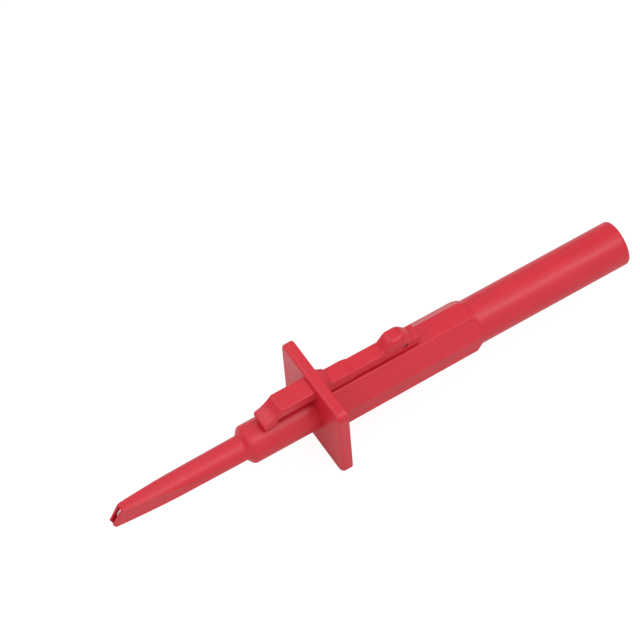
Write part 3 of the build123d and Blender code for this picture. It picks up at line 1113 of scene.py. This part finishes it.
    def bar(self) -> Solid:
        """Returns: the slider's bar, with its thick ramped front."""
        front, stop = AT.slider_front, AT.guard_front - self.seat_gap
        ramp = arc(
            (front, self.foot_bottom + self.lip_height),
            (front + self.ramp_length, self.front_top), self.ramp_sag,
        )
        head = prism(
            (
                *ramp, (stop + AT.overrun, self.front_top), (stop + AT.overrun, self.front_bottom),
                (front + self.foot_length, self.front_bottom),
                (front + self.foot_length, self.foot_bottom), (front, self.foot_bottom),
            ),
            -self.front_half_width, self.front_half_width,
        )
        step = AT.guard_back + self.bar_from_guard
        middle = prism(
            (
                (stop - self.head_edge, self.bar_bottom), (stop - self.head_edge, self.bar_top),
                (step, self.bar_top), (step + self.bar_slope, self.tail_top),
                (step + self.bar_slope, self.bar_bottom),
            ),
            -self.bar_half_width, self.bar_half_width,
        )
        tail = block(
            (step, -self.tail_half_width, self.bar_bottom),
            (AT.slider_tail, self.tail_half_width, self.tail_top),
        )
        for shape in (middle, tail):
            bevel(shape, self.along_top, self.bar_rounding, segments=6)
        well = self.stem_block(self.running_gap, self.bar_bottom - AT.overrun, self.tail_top + AT.overrun)
        bar = Solid(middle).combine(Cut.ADD, Solid(tail)).soften(self.bar_edge, segments=3, corner=40)
        before = slab(front - AT.overrun, stop, AT.barrel_radius, 0, 2 * self.front_top)
        whole = Solid(head).soften(self.head_edge, segments=4, corner=40).combine(Cut.KEEP, before)
        return whole.combine(Cut.ADD, bar).combine(Cut.REMOVE, well, self.pin_hole())

    def button(self) -> Solid:
        """Returns: the thumb button with its flat stem."""
        tail, floor = AT.slider_tail, self.tail_top + AT.fit
        top = self.tail_top + self.button_height
        low, base = floor - self.button_sink, floor - 2 * self.button_sink - self.button_edge
        outline = (
            (tail - self.button_foot - self.button_crest, base),
            *eased((tail - self.button_foot, low), (tail - self.button_front, top), self.button_crest),
            *eased((tail - self.button_rear, top), (tail - self.button_heel, low), self.button_crest),
            (tail - self.button_heel + self.button_crest, base),
        )
        ridge = Solid(cushion(outline, self.button_half_width, self.button_edge))
        ridge.combine(Cut.KEEP, slab(tail - 2 * self.button_foot, tail, AT.barrel_radius, floor, 2 * top))
        stem = self.stem_block(0, self.stem_seat, self.tail_top + self.stem_overlap)
        return ridge.combine(Cut.ADD, stem).combine(Cut.REMOVE, self.pin_hole())

    def carrier(self) -> Solid:
        """Returns: the round block that the stem and the hook are held in."""
        hole = AT.rod_radius + self.running_gap
        drum = Solid(turned((
            (AT.carrier_front, hole), (AT.carrier_front, AT.carrier_radius),
            (AT.carrier_back, AT.carrier_radius), (AT.carrier_back, hole),
        ), steps=64))
        pocket = self.stem_block(AT.fit, self.stem_seat - AT.fit, 2 * AT.carrier_radius)
        wire_hole = rod(
            AT.carrier_front - AT.overrun, AT.carrier_back + AT.overrun,
            self.hook_radius + AT.fit, at=(0, self.hook_rear),
        )
        return drum.combine(Cut.REMOVE, pocket, wire_hole)

    def route(self) -> list[Point]:
        """Returns: the hook's middle line in X and Z, from its return leg to its rear end."""
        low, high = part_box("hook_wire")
        bend = low.x + self.hook_radius + self.hook_offset
        step = AT.guard_front - self.step_from_guard
        slope = (self.hook_rear + self.hook_offset) / self.step_length
        route = [(bend + self.return_leg, self.hook_offset)]
        for part in range(self.bend_steps + 1):
            angle = math.pi / 2 + math.pi * part / self.bend_steps
            route.append((bend + self.hook_offset * math.cos(angle), self.hook_offset * math.sin(angle)))
        for corner, sign in ((step, -1), (step + self.step_length, 1)):
            level = -self.hook_offset if sign < 0 else self.hook_rear
            for share in (-1.0, -0.5, 0.0, 0.5, 1.0):
                slanted = max(0.0, share) if sign < 0 else min(0.0, share)
                blend = self.step_ease * (1 - abs(share)) ** 2 * 0.25 * slope
                height = level + slanted * self.step_ease * slope - sign * blend
                route.append((corner + share * self.step_ease, height))
        return [*route, (high.x, self.hook_rear)]

    def build(self) -> None:
        """Builds and dresses the group's pieces."""
        self.bar().shade().become("slider_bar", Body.PLUNGER, RED)
        self.button().shade().become("thumb_button", Body.PLUNGER, RED)
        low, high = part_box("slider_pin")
        ends = low.y + self.pin_recess, high.y - self.pin_recess
        pin = rod(*ends, AT.pin_radius, "Y", (AT.pin_x, AT.pin_z))
        # The pin's ends sit recessed in the hole, and its darkened steel colour is painted shade of that
        # hole.
        pin.soften(self.pin_edge, segments=3).shade().become("slider_pin", Body.PLUNGER, PAINTED_SHADE_STEEL)
        self.carrier().soften(self.carrier_edge).shade().become("plunger_carrier", Body.PLUNGER, NYLON)
        wire(self.route(), self.hook_radius).shade().become("hook_wire", Body.PLUNGER, STEEL)


@dataclass
class TailGroup:
    """The round grip and the lead socket in its shrouded well."""

    well_radius: float = 4.9 * MM
    well_floor: float = -23.0 * MM
    rim: float = 0.98 * MM
    inner_rim: float = 0.15 * MM
    front_rim: float = 0.12 * MM
    socket_front: float = -33.0 * MM
    socket_radius: float = 2.6 * MM
    socket_bore: float = 2.0 * MM
    socket_depth: float = 21 * MM
    lead_in: float = 0.25 * MM
    tail_gap: float = 0.5 * MM
    insulator_radius: float = 3.3 * MM
    insulator_lip: float = 0.7 * MM
    flange: float = 2.0 * MM
    clip_thickness: float = 0.7 * MM
    clip_groove: float = 0.4 * MM
    clip_reach: float = 0.4 * MM
    clip_opening: float = 0.46
    mouth_gap: float = 0.1 * MM
    contact_edge: float = 0.08 * MM
    clip_edge: float = 0.05 * MM
    insulator_edge: float = 0.15 * MM

    def sleeve(self) -> Solid:
        """Returns: the grip, with its rounded rear rim."""
        radius = AT.sleeve_radius
        rod_hole = AT.rod_radius + AT.fit
        shape = turned((
            (AT.sleeve_spigot, rod_hole), (AT.sleeve_spigot, AT.spigot_radius),
            (AT.sleeve_front, AT.spigot_radius), (AT.sleeve_front, radius), (AT.rear, radius),
            (AT.rear, self.well_radius), (self.well_floor, self.well_radius),
            (self.well_floor, self.socket_radius + self.tail_gap),
            (self.socket_front - AT.fit, self.socket_radius + self.tail_gap),
            (self.socket_front - AT.fit, rod_hole),
        ), steps=96)
        wall = (radius + self.well_radius) / 2
        for place, outside, width, segments in (
            (AT.rear, True, self.rim, 8), (AT.rear, False, self.inner_rim, 2),
            (AT.sleeve_front, True, self.front_rim, 2),
        ):
            bevel(
                shape, lambda e: near(e, 0, place) and (spread(e) > wall) == outside and around(e),
                width, segments,
            )
        return Solid(shape)

    def contact(self) -> Solid:
        """Returns: the turned tube that takes the lead's plug."""
        clip_back = self.well_floor - AT.fit
        clip_front = clip_back - self.clip_thickness
        waist = self.socket_radius - self.clip_groove
        rod_hole = AT.rod_radius + AT.fit
        return Solid(turned((
            (self.socket_front, rod_hole), (self.socket_front, self.socket_radius),
            (clip_front, self.socket_radius), (clip_front, waist), (clip_back, waist),
            (clip_back, self.socket_radius), (0, self.socket_radius),
            (0, self.socket_bore + self.lead_in / 2), (-self.lead_in, self.socket_bore),
            (-self.socket_depth, self.socket_bore), (-self.socket_depth, 0), (AT.rod_back, 0),
            (AT.rod_back, rod_hole),
        ), steps=64))

    def clip(self) -> Solid:
        """Returns: the sprung ring in the contact's groove."""
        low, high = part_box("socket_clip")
        inner = self.socket_radius - self.clip_groove + AT.fit
        outer = self.socket_radius + self.clip_reach
        shape = bmesh.new()
        face = shape.faces.new([
            shape.verts.new(corner)
            for corner in ((low.x, 0, inner), (high.x, 0, inner), (high.x, 0, outer), (low.x, 0, outer))
        ])
        start = math.pi + self.clip_opening / 2
        bmesh.ops.rotate(
            shape, verts=shape.verts, cent=(0, 0, 0), matrix=Matrix.Rotation(start, 3, "X")
        )
        bmesh.ops.spin(
            shape, geom=[face, *face.edges, *face.verts], axis=(1, 0, 0), cent=(0, 0, 0),
            dvec=(0, 0, 0), angle=math.tau - self.clip_opening, steps=40, use_merge=False,
            use_duplicate=False,
        )
        return Solid(shape)

    def insulator(self) -> Solid:
        """Returns: the touch-proof tube round the contact."""
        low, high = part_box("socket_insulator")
        front = self.well_floor + AT.fit
        bore = self.socket_radius + AT.fit
        mouth = self.socket_bore + self.mouth_gap
        return Solid(turned((
            (front, bore), (front, high.y), (front + self.flange, high.y),
            (self.well_floor + self.flange, self.insulator_radius),
            (self.insulator_lip, self.insulator_radius), (self.insulator_lip, mouth),
            (AT.fit, mouth), (AT.fit, bore),
        ), steps=72))

    def build(self) -> None:
        """Builds and dresses the group's pieces."""
        self.sleeve().shade().become("rear_sleeve", Body.PROBE, RED)
        self.contact().soften(self.contact_edge).shade().become("socket_contact", Body.PROBE, NICKEL)
        self.clip().soften(self.clip_edge).shade().become("socket_clip", Body.PROBE, SPRING_STEEL)
        insulator = self.insulator().soften(self.insulator_edge, segments=3).shade()
        insulator.become("socket_insulator", Body.PROBE, DARK_RED)


@dataclass(frozen=True)
class SoftBox:
    """A square soft lamp, aimed at the probe."""

    name: str
    azimuth: float
    elevation: float
    distance: float
    side: float
    watts: float

    def place(self) -> None:
        """Hangs the lamp, aimed at the middle of the probe."""
        data = bpy.data.lights.new(self.name, "AREA")
        data.size = self.side
        data.energy = self.watts
        lamp = bpy.data.objects.new(self.name, data)
        away = direction(self.azimuth, self.elevation)
        lamp.location = MIDDLE + away * self.distance
        lamp.rotation_mode = "QUATERNION"
        lamp.rotation_quaternion = away.to_track_quat("Z", "Y")
        bpy.context.scene.collection.objects.link(lamp)


def direction(azimuth: float, elevation: float) -> Vector:
    """Returns: the way to a place seen at those angles in degrees, as unit vector.

    Args:
        azimuth: 0 is at -Y and 90 at +X.
        elevation: the height above the horizon.
    """
    around_z, up = math.radians(azimuth), math.radians(elevation)
    return Vector((math.sin(around_z) * math.cos(up), -math.cos(around_z) * math.cos(up), math.sin(up)))


@dataclass
class Studio:
    """A pale floor, soft lamps and a white surround."""

    floor_side: float = 6.0
    floor_glow: float = 0.78
    floor_paint: Colour = (0.78, 0.78, 0.785)
    glow_strength: float = 1.15
    surround: float = 0.42
    mirrored: float = 0.5
    lamps: Sequence[SoftBox] = (
        SoftBox("overhead", 0, 88, 0.9, 0.6, 1.4),
        SoftBox("key", 29, 57, 0.9, 0.34, 1.4),
        SoftBox("front", 12, 24, 1.0, 0.8, 1.0),
        SoftBox("left", -68, 33, 1.0, 0.6, 1.9),
        SoftBox("left_back", -128, 42, 1.0, 0.45, 1.4),
        SoftBox("right", 80, 40, 1.0, 0.7, 1.7),
        SoftBox("back", 180, 45, 1.0, 0.7, 1.1),
    )

    def floor(self) -> None:
        """Lays the floor under the probe's lowest point."""
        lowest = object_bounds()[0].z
        shape = bmesh.new()
        bmesh.ops.create_grid(shape, x_segments=1, y_segments=1, size=self.floor_side / 2)
        bmesh.ops.translate(shape, verts=shape.verts, vec=(MIDDLE.x, 0, lowest))
        mesh = bpy.data.meshes.new("floor")
        shape.to_mesh(mesh)
        shape.free()
        plane = bpy.data.objects.new("floor", mesh)
        bpy.context.scene.collection.objects.link(plane)
        mesh.materials.append(self.floor_material())
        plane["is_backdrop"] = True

    def floor_material(self) -> bpy.types.Material:
        """Returns: pale paint that looks white to the camera and keeps the shadows."""
        material = bpy.data.materials.new("floor")
        material.use_nodes = True
        sheet = NodeSheet(material.node_tree)
        paint = sheet.node("ShaderNodeBsdfDiffuse", {}, {"Color": (*self.floor_paint, 1.0)})
        glow = sheet.node("ShaderNodeEmission", {}, {"Color": WHITE, "Strength": self.glow_strength})
        eye = Signal(sheet, sheet.node("ShaderNodeLightPath").outputs["Is Camera Ray"])
        inputs = {0: eye * self.floor_glow, 1: paint.outputs[0], 2: glow.outputs[0]}
        seen = sheet.node("ShaderNodeMixShader", {}, inputs)
        sheet.node("ShaderNodeOutputMaterial", {}, {"Surface": seen.outputs[0]})
        return material

    def world(self) -> None:
        """Makes the surround: soft light for the probe and plain white for the eye."""
        world = bpy.data.worlds.new("surround")
        bpy.context.scene.world = world
        world.use_nodes = True
        sheet = NodeSheet(world.node_tree)
        path = sheet.node("ShaderNodeLightPath")
        strength = self.surround
        for name, seen in (("Camera", 1.0), ("Glossy", self.mirrored), ("Transmission", self.mirrored)):
            strength = Signal(sheet, path.outputs[f"Is {name} Ray"]) * (seen - self.surround) + strength
        backdrop = sheet.node("ShaderNodeBackground", {}, {"Color": WHITE, "Strength": strength})
        sheet.node("ShaderNodeOutputWorld", {}, {"Surface": backdrop.outputs[0]})

    def build(self) -> None:
        """Sets up the whole studio."""
        self.floor()
        self.world()
        for lamp in self.lamps:
            lamp.place()
        bpy.context.scene.view_settings.view_transform = "Standard"


@dataclass
class PhotoCamera:
    """The camera that took the photograph, worked out from the probe's edges."""

    azimuth: float = -28.52
    elevation: float = 56.89
    roll: float = -4.233
    distance: float = 1.0
    pixels_per_metre: float = 4026.7
    centre_x: float = 371.62
    centre_y: float = 376.42
    sensor: float = 36.0

    def build(self) -> None:
        """Makes the camera and sets it as the scene's."""
        back = direction(self.azimuth, self.elevation)
        level = Vector((math.cos(math.radians(self.azimuth)), math.sin(math.radians(self.azimuth)), 0))
        rise = back.cross(level)
        roll = math.radians(self.roll)
        right = level * math.cos(roll) + rise * math.sin(roll)
        up = rise * math.cos(roll) - level * math.sin(roll)
        eye = MIDDLE + back * self.distance
        half = IMAGE_SIDE / 2
        aim = (
            MIDDLE
            + right * ((half - self.centre_x) / self.pixels_per_metre)
            + up * ((self.centre_y - half) / self.pixels_per_metre)
        )
        away = (eye - aim).normalized()
        across = (right - away * right.dot(away)).normalized()
        turn = Matrix((across, away.cross(across), away)).transposed()
        data = bpy.data.cameras.new("camera")
        data.sensor_width = self.sensor
        data.lens = self.pixels_per_metre * self.distance * self.sensor / IMAGE_SIDE
        data.clip_start, data.clip_end = 0.01, 20
        camera = bpy.data.objects.new("camera", data)
        camera.matrix_world = Matrix.Translation(eye) @ turn.to_4x4()
        bpy.context.scene.collection.objects.link(camera)
        bpy.context.scene.camera = camera


def main() -> None:
    """Builds the studio, the camera and every piece of the probe."""
    logging.basicConfig(level=logging.INFO, format="%(name)s: %(message)s")
    groups: Iterable[NoseGroup | GuardGroup | BodyGroup | PlungerGroup | TailGroup] = (
        NoseGroup(), GuardGroup(), BodyGroup(), PlungerGroup(), TailGroup(),
    )
    for group in groups:
        group.build()
    Studio().build()
    PhotoCamera().build()


if __name__ == "__main__":
    main()
